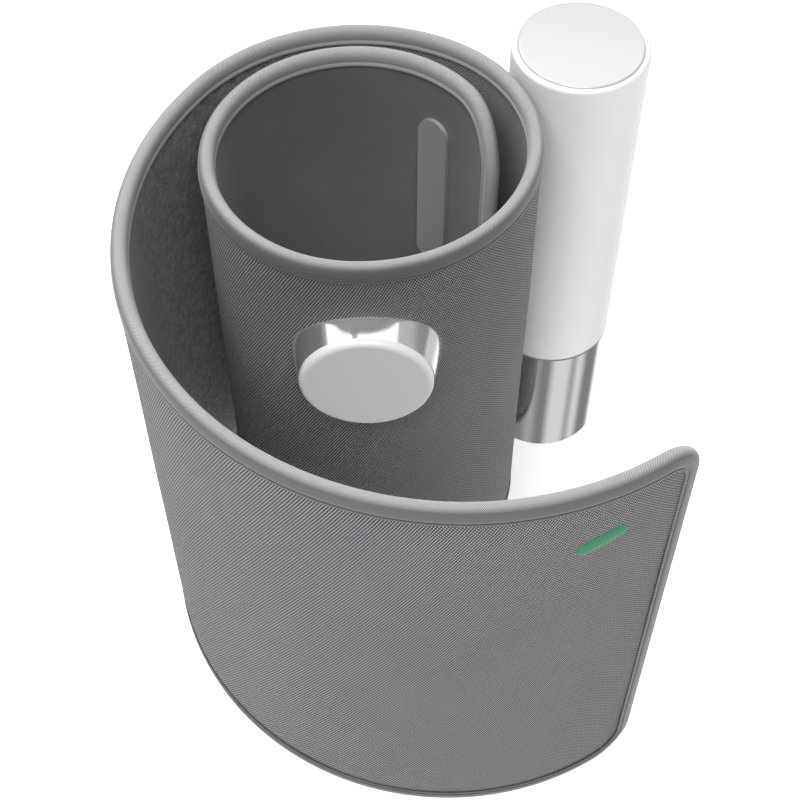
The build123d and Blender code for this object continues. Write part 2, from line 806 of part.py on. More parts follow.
# Hook patch on the inside of the flap's end
hook_last = cuff_end - degrees(2 * binding_width / radius_at(cuff_end))
hook_first = hook_last - degrees(hook_length / radius_at(cuff_end))
with BuildPart() as hook_patch:
    with BuildSketch(Plane.XY.offset((cuff_height - hook_height) / 2)):
        add(wall_strip(hook_first, hook_last, hook_out - hook_thickness, hook_out))
    extrude(amount=hook_height)
    for heading, side in ((hook_first, -1), (hook_last, 1)):
        for up in (-1, 1):
            height = (cuff_height + up * hook_height) / 2
            add(corner_cut(heading, side, height, up, hook_corner), mode=Mode.SUBTRACT)
keep("hook_patch", hook_patch.part)

# Sensor on the front of the inner turn. Its axis points forwards, and its pieces seat on the curved wall.
sensor_wall_y = point_on(wall_arcs, sensor_heading, face_out).Y
sensor_front = sensor_wall_y - sensor_stand
face_back = sensor_front + face_thickness
carrier_back = sensor_wall_y + cup_radius
behind_wall = wall_strip(
    inner_fold + fold_angle, sensor_heading + quarter_turn, face_out - cup_radius, face_out
)


def sensor_plane(y):
    return Plane(origin=(sensor_x, y, sensor_z), x_dir=(1, 0, 0), z_dir=(0, -1, 0))


def wall_block():
    with BuildPart() as block:
        with BuildSketch():
            add(behind_wall)
        extrude(amount=cuff_height)
    return block.part


sensor_seat = wall_block()

with BuildPart() as sensor_cup:
    with BuildSketch(sensor_plane(sensor_wall_y + cup_depth_share * cup_radius)):
        Circle(cup_radius)
    with BuildSketch(sensor_plane(face_back)):
        Circle(cup_front_radius)
    loft()
    with BuildSketch(sensor_plane(carrier_back)):
        Circle(cup_front_radius - cup_wall)
    extrude(amount=carrier_back - face_back, mode=Mode.SUBTRACT)
    add(sensor_seat, mode=Mode.SUBTRACT)
keep("sensor_cup", sensor_cup.part)

with BuildPart() as sensor_face:
    with BuildSketch(sensor_plane(face_back)):
        Circle(face_radius)
    extrude(amount=face_thickness)
    fillet(sensor_face.edges().group_by(Axis.Y)[0], face_round)
    with BuildSketch(sensor_plane(face_back + face_spigot)):
        Circle(cup_front_radius - cup_wall - seat_clearance)
        Circle(cup_front_radius - 2 * cup_wall, mode=Mode.SUBTRACT)
    extrude(amount=face_spigot)
keep("sensor_face", sensor_face.part)

# Carrier plate on the wall inside the cup, with a ring that holds the microphone
with BuildPart() as sensor_carrier:
    carrier_front = sensor_wall_y - carrier_thickness
    with BuildSketch(sensor_plane(carrier_front)):
        Circle(cup_front_radius - cup_wall - seat_clearance)
    extrude(amount=carrier_front - carrier_back)
    add(sensor_seat, mode=Mode.SUBTRACT)
    with BuildSketch(sensor_plane(carrier_front)):
        Circle(microphone_radius + seat_clearance + gasket_wall)
        Circle(microphone_radius + seat_clearance, mode=Mode.SUBTRACT)
    extrude(amount=board_thickness)
keep("sensor_carrier", sensor_carrier.part)

microphone_height = carrier_front - face_back - board_thickness
with BuildPart() as microphone:
    with BuildSketch(sensor_plane(carrier_front)):
        Circle(microphone_radius)
    extrude(amount=microphone_height)
    chamfer(microphone.edges().group_by(Axis.Y)[0], moving_gap)
keep("microphone", microphone.part)

# Soft ring between the microphone and the face
with BuildPart() as microphone_gasket:
    with BuildSketch(sensor_plane(face_back)):
        Circle(microphone_radius)
        Circle(microphone_radius - gasket_wall, mode=Mode.SUBTRACT)
    extrude(amount=-board_thickness)
keep("microphone_gasket", microphone_gasket.part)

for label, part in pieces.items():
    export_step(part, "parts/" + label + ".step")
print(len(pieces), "pieces; cuff ends", wall_point(cuff_start), wall_point(cuff_end))
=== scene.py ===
import json
from math import radians
import bpy
import bmesh
import numpy as np
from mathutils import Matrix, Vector


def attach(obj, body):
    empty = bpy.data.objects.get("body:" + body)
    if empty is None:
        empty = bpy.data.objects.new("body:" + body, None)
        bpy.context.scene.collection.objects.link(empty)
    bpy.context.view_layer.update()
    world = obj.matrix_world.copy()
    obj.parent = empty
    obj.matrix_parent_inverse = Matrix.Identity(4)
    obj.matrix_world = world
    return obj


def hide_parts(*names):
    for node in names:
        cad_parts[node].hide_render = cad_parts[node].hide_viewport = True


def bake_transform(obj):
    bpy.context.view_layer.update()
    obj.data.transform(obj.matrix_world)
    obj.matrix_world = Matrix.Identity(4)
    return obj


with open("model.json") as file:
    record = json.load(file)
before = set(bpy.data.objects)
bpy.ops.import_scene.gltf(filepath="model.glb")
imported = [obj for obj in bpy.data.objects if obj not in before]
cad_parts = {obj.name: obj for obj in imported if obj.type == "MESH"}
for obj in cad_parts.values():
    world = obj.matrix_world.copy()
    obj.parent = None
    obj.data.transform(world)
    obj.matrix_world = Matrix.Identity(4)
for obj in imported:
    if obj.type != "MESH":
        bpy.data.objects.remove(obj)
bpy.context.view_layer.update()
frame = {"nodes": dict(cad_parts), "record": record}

# Upper arm blood pressure monitor: a rolled cuff that stands beside a tube, seen from above its front.
# Lengths are metres. A heading is the direction in degrees in which the cuff wall's middle line runs.

print("frame is loaded")


# Shader helpers

def addNode(tree, kind, inputs=None, **settings):
    # one node: inputs maps a socket's name or number to a value or to another node's output
    node = tree.nodes.new(kind)
    for setting, value in settings.items():
        setattr(node, setting, value)
    for socket, value in (inputs or {}).items():
        if isinstance(value, bpy.types.NodeSocket):
            tree.links.new(value, node.inputs[socket])
        else:
            node.inputs[socket].default_value = value
    return node


def maths(tree, operation, first, second=0.0, third=0.0):
    return addNode(tree, "ShaderNodeMath", {0: first, 1: second, 2: third}, operation=operation).outputs[0]


def mixColours(tree, amount, first, second):
    node = addNode(tree, "ShaderNodeMix", {0: amount}, data_type="RGBA")
    for number, value in ((6, first), (7, second)):
        if isinstance(value, bpy.types.NodeSocket):
            tree.links.new(value, node.inputs[number])
        else:
            node.inputs[number].default_value = (*value, 1)
    return node.outputs[2]


def mixNumbers(tree, amount, first, second):
    return addNode(tree, "ShaderNodeMix", {0: amount, 2: first, 3: second}).outputs[0]


def noise(tree, vector, scale, detail=3.0, roughness=0.5):
    inputs = {"Vector": vector, "Scale": scale, "Detail": detail, "Roughness": roughness}
    return addNode(tree, "ShaderNodeTexNoise", inputs).outputs["Fac"]


def spread(tree, value, low, high, newLow=0.0, newHigh=1.0):
    # brings low..high to newLow..newHigh, held at both ends
    inputs = {0: value, 1: low, 2: high, 3: newLow, 4: newHigh}
    return addNode(tree, "ShaderNodeMapRange", inputs, clamp=True).outputs[0]


def startMaterial(name, roughness, **sockets):
    material = bpy.data.materials.new(name)
    material.use_nodes = True
    tree = material.node_tree
    shader = tree.nodes["Principled BSDF"]
    shader.inputs["Roughness"].default_value = roughness
    for socket, value in sockets.items():
        shader.inputs[socket.replace("_", " ")].default_value = value
    return material, tree, shader


def setBump(tree, shader, height, distance, strength=1.0):
    bump = addNode(tree, "ShaderNodeBump", {"Height": height, "Distance": distance, "Strength": strength})
    tree.links.new(bump.outputs[0], shader.inputs["Normal"])


def surfaceRun(tree):
    # the piece's own UV map, in metres: along the wall, and up it or round the profile
    parts = addNode(tree, "ShaderNodeSeparateXYZ", {0: addNode(tree, "ShaderNodeUVMap").outputs[0]})
    return parts.outputs[0], parts.outputs[1]


def yarnRows(tree, along, up, slope, pitch):
    # rows of yarn that climb by slope: 0 between two rows and 1 on the crown of a row
    length = pitch * (1 + slope * slope) ** 0.5
    place = maths(tree, "MULTIPLY_ADD", along, -slope / length, maths(tree, "DIVIDE", up, length))
    return maths(tree, "ABSOLUTE", maths(tree, "SINE", maths(tree, "MULTIPLY", place, np.pi)))


twill = {
    "ribSlope": 1.93, "ribPitch": 0.000672,
    "floatSlope": -1.11, "floatPitch": 0.000657,
    "gap": (0.006, 0.006, 0.007), "yarn": (0.372, 0.369, 0.390),
    "patchiness": 0.10, "bump": 0.00030,
}


def twillWeave(name, cut, shade=1.0):
    # diagonal ribs cut across by their floats, with fine yarn fuzz and a slow drift of shade
    material, tree, shader = startMaterial(name, 0.82, Sheen_Weight=0.25, Sheen_Roughness=0.45)
    shader.inputs["Specular IOR Level"].default_value = 0.25
    along, up = surfaceRun(tree)
    where = addNode(tree, "ShaderNodeTexCoord").outputs["Object"]
    ribs = yarnRows(tree, along, up, cut["ribSlope"], cut["ribPitch"])
    floats = yarnRows(tree, along, up, cut["floatSlope"], cut["floatPitch"])
    crown = maths(tree, "MULTIPLY", ribs, maths(tree, "MULTIPLY_ADD", floats, 0.62, 0.38))
    fuzz = noise(tree, where, 5200, 2)
    drift = noise(tree, where, 26, 3)
    crown = maths(tree, "ADD", crown, maths(tree, "MULTIPLY_ADD", fuzz, 0.24, -0.12))
    lit = spread(tree, crown, 0.46, 0.80)
    tone = mixColours(tree, lit, [c * shade for c in cut["gap"]], [c * shade for c in cut["yarn"]])
    worn = mixColours(tree, maths(tree, "MULTIPLY", spread(tree, drift, 0.3, 0.7), cut["patchiness"]), tone,
                      [c * shade * 0.72 for c in cut["yarn"]])
    tree.links.new(worn, shader.inputs["Base Color"])
    setBump(tree, shader, crown, cut["bump"])
    return material


satin = {
    "colour": (0.102, 0.102, 0.106), "pale": (0.127, 0.127, 0.130), "pitch": 0.00042, "bump": 0.00004,
    "pileFrom": 0.232, "pileTo": 0.40, "pileColour": (0.190, 0.190, 0.194), "gridTo": 0.295, "gridPitch": 0.00066,
}


def satinLining(name, cut):
    # smooth close satin on the arm's side, and soft loop pile on the part that faces the inner turn
    material, tree, shader = startMaterial(name, 0.62, Sheen_Weight=0.2, Sheen_Roughness=0.5)
    shader.inputs["Specular IOR Level"].default_value = 0.35
    along, up = surfaceRun(tree)
    where = addNode(tree, "ShaderNodeTexCoord").outputs["Object"]
    warp = yarnRows(tree, along, up, 0.0, cut["pitch"])
    weft = yarnRows(tree, along, up, 40.0, cut["pitch"])
    close = maths(tree, "MULTIPLY", warp, weft)
    loops = addNode(tree, "ShaderNodeTexVoronoi", {"Vector": where, "Scale": 1350}).outputs["Distance"]
    tufts = maths(tree, "MULTIPLY_ADD", noise(tree, where, 420, 4, 0.65), 1.5, maths(tree, "MULTIPLY", loops, -0.6))
    wander = maths(tree, "MULTIPLY_ADD", noise(tree, where, 60, 2), 0.012, along)
    pile = maths(tree, "MULTIPLY", spread(tree, wander, cut["pileFrom"], cut["pileFrom"] + 0.02),
                 spread(tree, wander, cut["pileTo"], cut["pileTo"] + 0.02, 1.0, 0.0))
    tone = mixColours(tree, spread(tree, noise(tree, where, 34, 3), 0.3, 0.7), cut["colour"], cut["pale"])
    grid = maths(tree, "MULTIPLY", yarnRows(tree, along, up, 1.9, cut["gridPitch"]),
                 yarnRows(tree, along, up, -1.1, cut["gridPitch"]))
    grid = maths(tree, "MULTIPLY_ADD", spread(tree, grid, 0.1, 0.7), 1.2, maths(tree, "MULTIPLY", tufts, 0.25))
    tufts = mixNumbers(tree, spread(tree, along, cut["gridTo"], cut["gridTo"] + 0.03, 1.0, 0.0), tufts, grid)
    plush = mixColours(tree, spread(tree, tufts, 0.2, 0.9), [c * 0.55 for c in cut["pileColour"]],
                       [c * 1.6 for c in cut["pileColour"]])
    tree.links.new(mixColours(tree, pile, tone, plush), shader.inputs["Base Color"])
    height = maths(tree, "ADD", maths(tree, "MULTIPLY", close, 0.15), maths(tree, "MULTIPLY", tufts, pile))
    setBump(tree, shader, height, cut["bump"] * 5)
    return material


# tape colours: crown is the net's yarn tone raised as a painted highlight for light falling on the bead's top, inner
# paints the tape's inner side lighter as painted light, sewn is painted shade along the sewn groove, and crownShift
# moves the crown zone off the bead's middle
tape = {
    "colour": (0.125, 0.125, 0.129), "gap": (0.14, 0.14, 0.145), "crown": (0.50, 0.50, 0.51), "inner": (0.30, 0.30, 0.305), "sewn": (0.03, 0.03, 0.032),
    "netPitch": 0.00034, "netSlope": 1.2, "grooveAt": 0.0055, "grooveWide": 0.00022, "bump": 0.00012,
    "crownEnd": 0.0015, "crownFade": 0.0007, "crownShift": 0.0004,
}


def wovenTape(name, cut):
    # bright knitted net over the crown of the bead, lightened as a painted highlight where light falls from above, a
    # smooth darker band below it whose inner side is painted lighter as painted light, and painted shade in the dark
    # sewn groove
    material, tree, shader = startMaterial(name, 0.7, Sheen_Weight=0.3, Sheen_Roughness=0.4)
    shader.inputs["Specular IOR Level"].default_value = 0.3
    along, across = surfaceRun(tree)
    where = addNode(tree, "ShaderNodeTexCoord").outputs["Object"]
    leaning = yarnRows(tree, along, across, cut["netSlope"], cut["netPitch"])
    crossing = yarnRows(tree, along, across, -cut["netSlope"], cut["netPitch"])
    net = maths(tree, "MULTIPLY", leaning, maths(tree, "MULTIPLY_ADD", crossing, 0.4, 0.6))
    crossRibs = yarnRows(tree, along, across, 60.0, cut["netPitch"] * 0.7)
    offCrown = maths(tree, "ABSOLUTE", maths(tree, "ADD", across, cut["crownShift"]))
    # crown zone: it carries the knitted net and, in colour, the painted highlight
    onCrown = spread(tree, offCrown, cut["crownEnd"] - cut["crownFade"], cut["crownEnd"] + cut["crownFade"], 1.0, 0.0)
    yarns = maths(tree, "ADD", maths(tree, "MULTIPLY", net, onCrown),
                  maths(tree, "MULTIPLY", crossRibs, spread(tree, onCrown, 0, 1, 0.16, 0.0)))
    # net tones on the crown, with the yarn tone raised as a painted highlight
    knitAndHighlight = mixColours(tree, spread(tree, net, 0.2, 0.75), cut["gap"], cut["crown"])
    # outer side in the tape's own colour; the inner side painted lighter as painted light
    band = mixColours(tree, spread(tree, across, -0.002, 0.0, 1.0, 0.0), cut["colour"], cut["inner"])
    tone = mixColours(tree, onCrown, band, knitAndHighlight)
    # painted shade: a dark line along the sewn groove, where the groove's recess is in shadow
    groove = maths(tree, "ABSOLUTE", maths(tree, "SUBTRACT", across, cut["grooveAt"]))
    stitched = spread(tree, groove, cut["grooveWide"], cut["grooveWide"] * 2.2, 0.75, 0.0)
    tone = mixColours(tree, stitched, tone, cut["sewn"])
    drift = spread(tree, noise(tree, where, 60, 3), 0.35, 0.7, 0.0, 0.12)
    tree.links.new(mixColours(tree, drift, tone, cut["colour"]), shader.inputs["Base Color"])
    height = maths(tree, "ADD", yarns, maths(tree, "MULTIPLY", noise(tree, where, 4200, 2), 0.25))
    setBump(tree, shader, height, cut["bump"])
    return material


thread = {"colour": (0.035, 0.30, 0.135), "deep": (0.02, 0.17, 0.075), "pitch": 0.00034, "bump": 0.00008}


def satinThread(name, cut):
    # parallel glossy embroidery threads across the stitched bar
    material, tree, shader = startMaterial(name, 0.42, Sheen_Weight=0.3, Sheen_Roughness=0.3)
    along, across = surfaceRun(tree)
    where = addNode(tree, "ShaderNodeTexCoord").outputs["Object"]
    rows = yarnRows(tree, along, across, 0.0 + 12.0, cut["pitch"])
    tone = mixColours(tree, spread(tree, rows, 0.0, 0.6), cut["deep"], cut["colour"])
    tone = mixColours(tree, maths(tree, "MULTIPLY", noise(tree, where, 900, 3), 0.25), tone, cut["deep"])
    tree.links.new(tone, shader.inputs["Base Color"])
    setBump(tree, shader, rows, cut["bump"])
    return material


def hookTape(name):
    # rows of tiny moulded hooks on a dark backing
    material, tree, shader = startMaterial(name, 0.5)
    along, up = surfaceRun(tree)
    where = addNode(tree, "ShaderNodeTexCoord").outputs["Object"]
    hooks = maths(tree, "MULTIPLY", yarnRows(tree, along, up, 0.0, 0.0011), yarnRows(tree, along, up, 60.0, 0.0011))
    tips = spread(tree, maths(tree, "ADD", hooks, maths(tree, "MULTIPLY", noise(tree, where, 1500, 2), 0.3)), 0.4, 0.95)
    tree.links.new(mixColours(tree, tips, (0.03, 0.03, 0.032), (0.17, 0.17, 0.175)), shader.inputs["Base Color"])
    setBump(tree, shader, tips, 0.0004)
    return material


def mouldedPlastic(name, colour, roughness, grain=900.0, bump=0.00001, coat=0.0, coatRoughness=0.25, drift=0.06):
    # fine moulded grain, a faint cloudiness of shade and a little wear in the gloss
    material, tree, shader = startMaterial(name, roughness, Coat_Weight=coat, Coat_Roughness=coatRoughness)
    where = addNode(tree, "ShaderNodeTexCoord").outputs["Object"]
    cloud = spread(tree, noise(tree, where, 22, 4), 0.3, 0.7)
    tone = mixColours(tree, maths(tree, "MULTIPLY", cloud, drift), colour, [c * 0.7 for c in colour])
    tree.links.new(tone, shader.inputs["Base Color"])
    gloss = noise(tree, where, 140, 4, 0.6)
    tree.links.new(spread(tree, gloss, 0.3, 0.7, roughness - 0.05, roughness + 0.07), shader.inputs["Roughness"])
    setBump(tree, shader, noise(tree, where, grain, 3), bump)
    return material


def drawnMetal(name, colour, roughness, lines=(60.0, 60.0, 1.0), bump=0.000004, streak=0.18, metallic=1.0):
    # long fine grinding lines that lie along one direction, with streaks of tone and gloss
    material, tree, shader = startMaterial(name, roughness, Metallic=metallic)
    where = addNode(tree, "ShaderNodeTexCoord").outputs["Object"]
    stretched = addNode(tree, "ShaderNodeMapping", {"Vector": where, "Scale": lines}).outputs[0]
    scratches = noise(tree, stretched, 60, 5, 0.65)
    smears = noise(tree, where, 45, 3)
    tone = mixColours(tree, maths(tree, "MULTIPLY", scratches, streak), colour, [c * 0.55 for c in colour])
    tree.links.new(tone, shader.inputs["Base Color"])
    worn = maths(tree, "MULTIPLY_ADD", scratches, 0.12, maths(tree, "MULTIPLY", smears, 0.06))
    tree.links.new(maths(tree, "ADD", worn, roughness - 0.07), shader.inputs["Roughness"])
    setBump(tree, shader, scratches, bump)
    return material


def circuitBoard(name):
    # green solder mask with paler copper runs and small round pads under it
    material, tree, shader = startMaterial(name, 0.35, Coat_Weight=0.4, Coat_Roughness=0.2)
    where = addNode(tree, "ShaderNodeTexCoord").outputs["Object"]
    bricks = addNode(tree, "ShaderNodeTexBrick", {"Vector": where, "Scale": 160.0, "Mortar Size": 0.06}).outputs["Fac"]
    pads = addNode(tree, "ShaderNodeTexVoronoi", {"Vector": where, "Scale": 330}).outputs["Distance"]
    tone = mixColours(tree, bricks, (0.012, 0.11, 0.045), (0.035, 0.20, 0.085))
    tone = mixColours(tree, spread(tree, pads, 0.12, 0.16, 1.0, 0.0), tone, (0.55, 0.42, 0.2))
    tree.links.new(tone, shader.inputs["Base Color"])
    setBump(tree, shader, bricks, 0.00003)
    return material


def softRubber(name, colour, roughness=0.75, grain=700.0):
    material, tree, shader = startMaterial(name, roughness)
    where = addNode(tree, "ShaderNodeTexCoord").outputs["Object"]
    dust = spread(tree, noise(tree, where, 90, 5, 0.7), 0.45, 0.8, 0.0, 0.35)
    tree.links.new(mixColours(tree, dust, colour, [min(1, c * 2 + 0.02) for c in colour]), shader.inputs["Base Color"])
    setBump(tree, shader, noise(tree, where, grain, 3), 0.00002)
    return material


def clearFilm(name, colour, roughness, alpha=1.0):
    # welded film or hose wall with a milky drift in its thickness
    material, tree, shader = startMaterial(name, roughness, Coat_Weight=0.3, Coat_Roughness=0.15)
    shader.inputs["Subsurface Weight"].default_value = 0.1
    shader.inputs["Subsurface Scale"].default_value = 0.002
    where = addNode(tree, "ShaderNodeTexCoord").outputs["Object"]
    milky = spread(tree, noise(tree, where, 55, 4), 0.3, 0.75)
    tree.links.new(mixColours(tree, milky, colour, [c * 0.75 for c in colour]), shader.inputs["Base Color"])
    setBump(tree, shader, noise(tree, where, 240, 3), 0.00004)
    return material


twillMaterial = twillWeave("fabricTwill", twill)
liningMaterial = satinLining("liningSatin", satin)
tapeMaterial = wovenTape("edgeTape", tape)
threadMaterial = satinThread("greenThread", thread)
hookMaterial = hookTape("hookTape")

finishes = {
    "white_shell": mouldedPlastic("shellWhite", (0.77, 0.77, 0.775), 0.42, grain=1400, coat=0.15, drift=0.03),
    "white_cap": mouldedPlastic("capWhite", (0.53, 0.53, 0.53), 0.36, grain=1400, coat=1.0, coatRoughness=0.05, drift=0.03),
    "steel": drawnMetal("bandSteel", (0.78, 0.78, 0.80), 0.12, lines=(1.0, 1.0, 60.0), streak=0.12),
    "seam": mouldedPlastic("seamGrey", (0.40, 0.40, 0.405), 0.6),
    "foot_plastic": mouldedPlastic("footPlastic", (0.68, 0.68, 0.69), 0.5, bump=0.00002),
    "screw_steel": drawnMetal("screwSteel", (0.55, 0.55, 0.56), 0.35),
    "frame_plastic": mouldedPlastic("framePlastic", (0.05, 0.05, 0.055), 0.5, bump=0.00003),
    "port_metal": drawnMetal("socketMetal", (0.66, 0.66, 0.67), 0.3),
    "board": circuitBoard("boardMask"),
    "cell": mouldedPlastic("cellSleeve", (0.05, 0.10, 0.33), 0.3, coat=0.5),
    "motor_metal": drawnMetal("motorCan", (0.6, 0.6, 0.61), 0.32),
    "pump_plastic": mouldedPlastic("pumpBlack", (0.03, 0.03, 0.03), 0.5, bump=0.00003),
    "dark_rubber": softRubber("sleeveRubber", (0.018, 0.018, 0.018)),
    "valve_metal": drawnMetal("valveMetal", (0.55, 0.55, 0.56), 0.35),
    "sensor_plastic": mouldedPlastic("sensorBlack", (0.04, 0.04, 0.045), 0.45),
    "diffuser": clearFilm("lightGuide", (0.82, 0.82, 0.84), 0.4),
    "hose": clearFilm("hoseWall", (0.55, 0.56, 0.57), 0.35),
    "fitting": mouldedPlastic("fittingNylon", (0.62, 0.61, 0.57), 0.45),
    "saddle": mouldedPlastic("saddleGrey", (0.20, 0.20, 0.21), 0.55, bump=0.00003),
    "spring_sheet": mouldedPlastic("springSheet", (0.55, 0.56, 0.57), 0.35, coat=0.2),
    "bladder_film": clearFilm("bladderFilm", (0.30, 0.31, 0.32), 0.4),
    "contact_metal": drawnMetal("stripMetal", (0.47, 0.47, 0.48), 0.42, lines=(60.0, 60.0, 1.0), streak=0.1, metallic=0.45),
    "chrome": drawnMetal("cupChrome", (0.86, 0.86, 0.87), 0.1, lines=(2.0, 2.0, 2.0), bump=0.000001, streak=0.05,
                         metallic=0.82),
    "pale_cap": mouldedPlastic("faceGrey", (0.85, 0.85, 0.855), 0.42, grain=1600, coat=0.1, drift=0.03),
    "microphone_metal": drawnMetal("capsuleMetal", (0.6, 0.58, 0.5), 0.35),
    "twill": twillMaterial, "lining": liningMaterial, "binding": tapeMaterial, "hook": hookMaterial,
}
for part in frame["record"]["subparts"]:
    node = frame["nodes"][part["node"]]
    node.data.materials.clear()
    node.data.materials.append(finishes[part["material_slot"]])
print("materials are ready")


# Cuff wall: arcs that run on smoothly into each other, from the inner end to the flap's free end

wall = {
    "radii": [0.0500, 0.0355, 0.0375, 0.0385, 0.0445, 0.0400, 0.0510, 0.0835, 0.0810],
    "sweeps": [10, 65, 90, 90, 80, 75, 85, 75, 90],
    "firstHeading": 100.0, "firstPoint": (-0.0232036, -0.0299305),
    "height": 0.155, "half": 0.0018,
    "innerCorners": (0.0190, 0.0190), "flapCorners": (0.0130, 0.0105),
    "cuts": [100.0, 425.0, 632.0, 760.0],
}
arcHeadings = wall["firstHeading"] + np.concatenate([[0], np.cumsum(wall["sweeps"])])
arcRuns = np.concatenate([[0], np.cumsum(np.array(wall["radii"]) * np.radians(wall["sweeps"]))])


def outward(heading):
    turned = np.radians(heading)
    return np.stack([np.sin(turned), -np.cos(turned)], -1)


arcCentres = [np.array(wall["firstPoint"]) - wall["radii"][0] * outward(wall["firstHeading"])]
for number in range(1, len(wall["radii"])):
    step = wall["radii"][number - 1] - wall["radii"][number]
    arcCentres.append(arcCentres[-1] + step * outward(arcHeadings[number]))
arcCentres = np.array(arcCentres)
wallLength = arcRuns[-1]


def wallPoints(run, out, up):
    # centre of the arc at that run + (its radius + out) times the outward direction, and up as z
    run, out, up = np.broadcast_arrays(run, out, up)
    heading = np.interp(run, arcRuns, arcHeadings)
    arc = np.clip(np.searchsorted(arcHeadings, heading, side="right") - 1, 0, len(arcCentres) - 1)
    flat = arcCentres[arc] + (np.array(wall["radii"])[arc] + out)[..., None] * outward(heading)
    return np.concatenate([flat, up[..., None]], -1)


def runAt(heading):
    return np.interp(heading, arcHeadings, arcRuns)


def borderDistance(run, up, margin):
    # distance inside a rectangle with rounded corners that is smaller than the wall by margin all round
    low, high = (np.where(run < wallLength / 2, wall["innerCorners"][side], wall["flapCorners"][side]) for side in (0, 1))
    corner = np.where(up < wall["height"] / 2, low, high) - margin
    across = np.abs(run - wallLength / 2) - (wallLength / 2 - margin - corner)
    upward = np.abs(up - wall["height"] / 2) - (wall["height"] / 2 - margin - corner)
    outside = np.hypot(np.maximum(across, 0), np.maximum(upward, 0))
    return corner - outside - np.minimum(np.maximum(across, upward), 0)


def carriedPiece(name, points, uv, material, creaseAngle=50):
    # rows x columns of points, each row a closed outline, joined to the next row; both ends are capped
    rows, columns = points.shape[:2]
    here = np.arange(columns)
    after = (here + 1) % columns
    first = (np.arange(rows - 1) * columns)[:, None]
    quads = np.stack([first + here, first + after, first + columns + after, first + columns + here], -1)
    uvFirst = (np.arange(rows - 1) * (columns + 1))[:, None]
    uvQuads = np.stack([uvFirst + here, uvFirst + here + 1,
                        uvFirst + columns + here + 2, uvFirst + columns + here + 1], -1)
    last = (rows - 1) * columns
    faces = quads.reshape(-1, 4).tolist() + [here[::-1].tolist(), (last + here).tolist()]
    uvLoops = np.concatenate([uvQuads.reshape(-1), here[::-1], (rows - 1) * (columns + 1) + here])
    mesh = bpy.data.meshes.new(name)
    mesh.from_pydata(points.reshape(-1, 3).tolist(), [], faces)
    layer = mesh.uv_layers.new(name="UVMap")
    layer.data.foreach_set("uv", uv.reshape(-1, 2)[uvLoops].astype(np.float32).ravel())
    shell = bmesh.new()
    shell.from_mesh(mesh)
    bmesh.ops.recalc_face_normals(shell, faces=shell.faces)
    shell.to_mesh(mesh)
    shell.free()
    mesh.shade_smooth()
    mesh.set_sharp_from_angle(angle=radians(creaseAngle))
    mesh.materials.append(material)
    piece = bpy.data.objects.new(name, mesh)
    bpy.context.scene.collection.objects.link(piece)
    return piece


def runSamples(first, last, step):
    # even steps, with closer ones where a rounded corner begins or ends the wall
    even = np.linspace(first, last, max(3, int(round((last - first) / step)) + 1))
    close = 1 - np.cos(np.linspace(0, np.pi / 2, 14))
    extra = np.concatenate([first + close * 0.020, last - close * 0.020])
    return np.unique(np.round(np.concatenate([even, extra]), 7))


layers = {
    "margin": 0.0040, "step": 0.0018, "upSteps": 74,
    "fabric": (0.0007, 0.0018), "sheet": (0.0001, 0.0006), "lining": (-0.0018, -0.0009),
    "dip": 0.00034, "dipReach": 0.0036, "softness": 0.00010,
}


def cornerRise(run, side):
    # how far the rounded corners lift the layer's lower border (side 0) or drop its upper one (side 1)
    rise = 0
    for corners, gone in ((wall["innerCorners"], run), (wall["flapCorners"], wallLength - run)):
        arc = corners[side] - layers["margin"]
        over = np.clip(arc - (gone - layers["margin"]), 0, arc)
        rise = rise + arc - np.sqrt(arc ** 2 - over ** 2)
    return rise


def wallLayer(name, firstHeading, lastHeading, faces, material, dipped):
    # outline carried along the wall: up the outer face and down the inner one, kept inside the edge tape
    inner, outer = faces
    margin = layers["margin"]
    low = max(runAt(firstHeading), margin)
    high = min(runAt(lastHeading), wallLength - margin)
    run = runSamples(low, high, layers["step"])
    bottom = margin + cornerRise(run, 0)
    top = wall["height"] - margin - cornerRise(run, 1)
    share = np.linspace(0, 1, layers["upSteps"])
    share = 0.55 * share + 0.45 * (1 - np.cos(np.pi * share)) / 2
    up = bottom[:, None] + (top - bottom)[:, None] * share
    along = np.broadcast_to(run[:, None], up.shape)
    dip = layers["dip"] * np.exp(-(np.maximum(borderDistance(along, up, margin), 0) / layers["dipReach"]) ** 2)
    ripple = layers["softness"] * (np.sin(61 * along + 23 * up) * np.sin(47 * up + 1.3) + 0.6 * np.sin(113 * along + 3 * np.sin(29 * up)))
    shift = (ripple - dip) if dipped == "out" else 0 * dip
    outerFace = wallPoints(along, outer + shift, up)
    back = (dip - ripple) if dipped == "in" else 0 * dip
    innerFace = wallPoints(along, inner + back, up)
    points = np.concatenate([outerFace, innerFace[:, ::-1]], 1)
    uv = np.stack([np.concatenate([along, along[:, ::-1], along[:, :1]], 1),
                   np.concatenate([up, up[:, ::-1], up[:, :1]], 1)], -1)
    return carriedPiece(name, points, uv, material)


# Edge tape: its outline, as distance in from the wall's edge and out from its middle, in millimetres
binding = {
    "bead": 0.00195, "beadSteps": 13, "step": 0.0016, "cornerSteps": 16,
    "outerSide": [(5.20, 1.82), (5.26, 1.92), (5.05, 2.06), (4.62, 2.06), (4.42, 1.98), (4.22, 1.72), (4.02, 1.98),
                  (3.7, 2.1), (3.1, 2.14), (2.5, 2.08)],
    "innerSide": [(2.6, -1.95), (2.95, -1.90), (3.25, -1.78), (3.5, -1.98), (3.85, -2.25), (4.3, -2.25),
                  (4.65, -2.0), (4.7, -1.83)],
    "pocket": [(4.1, -1.83), (3.95, -1.7), (3.95, 0.0), (3.95, 1.7), (4.1, 1.82)],
}


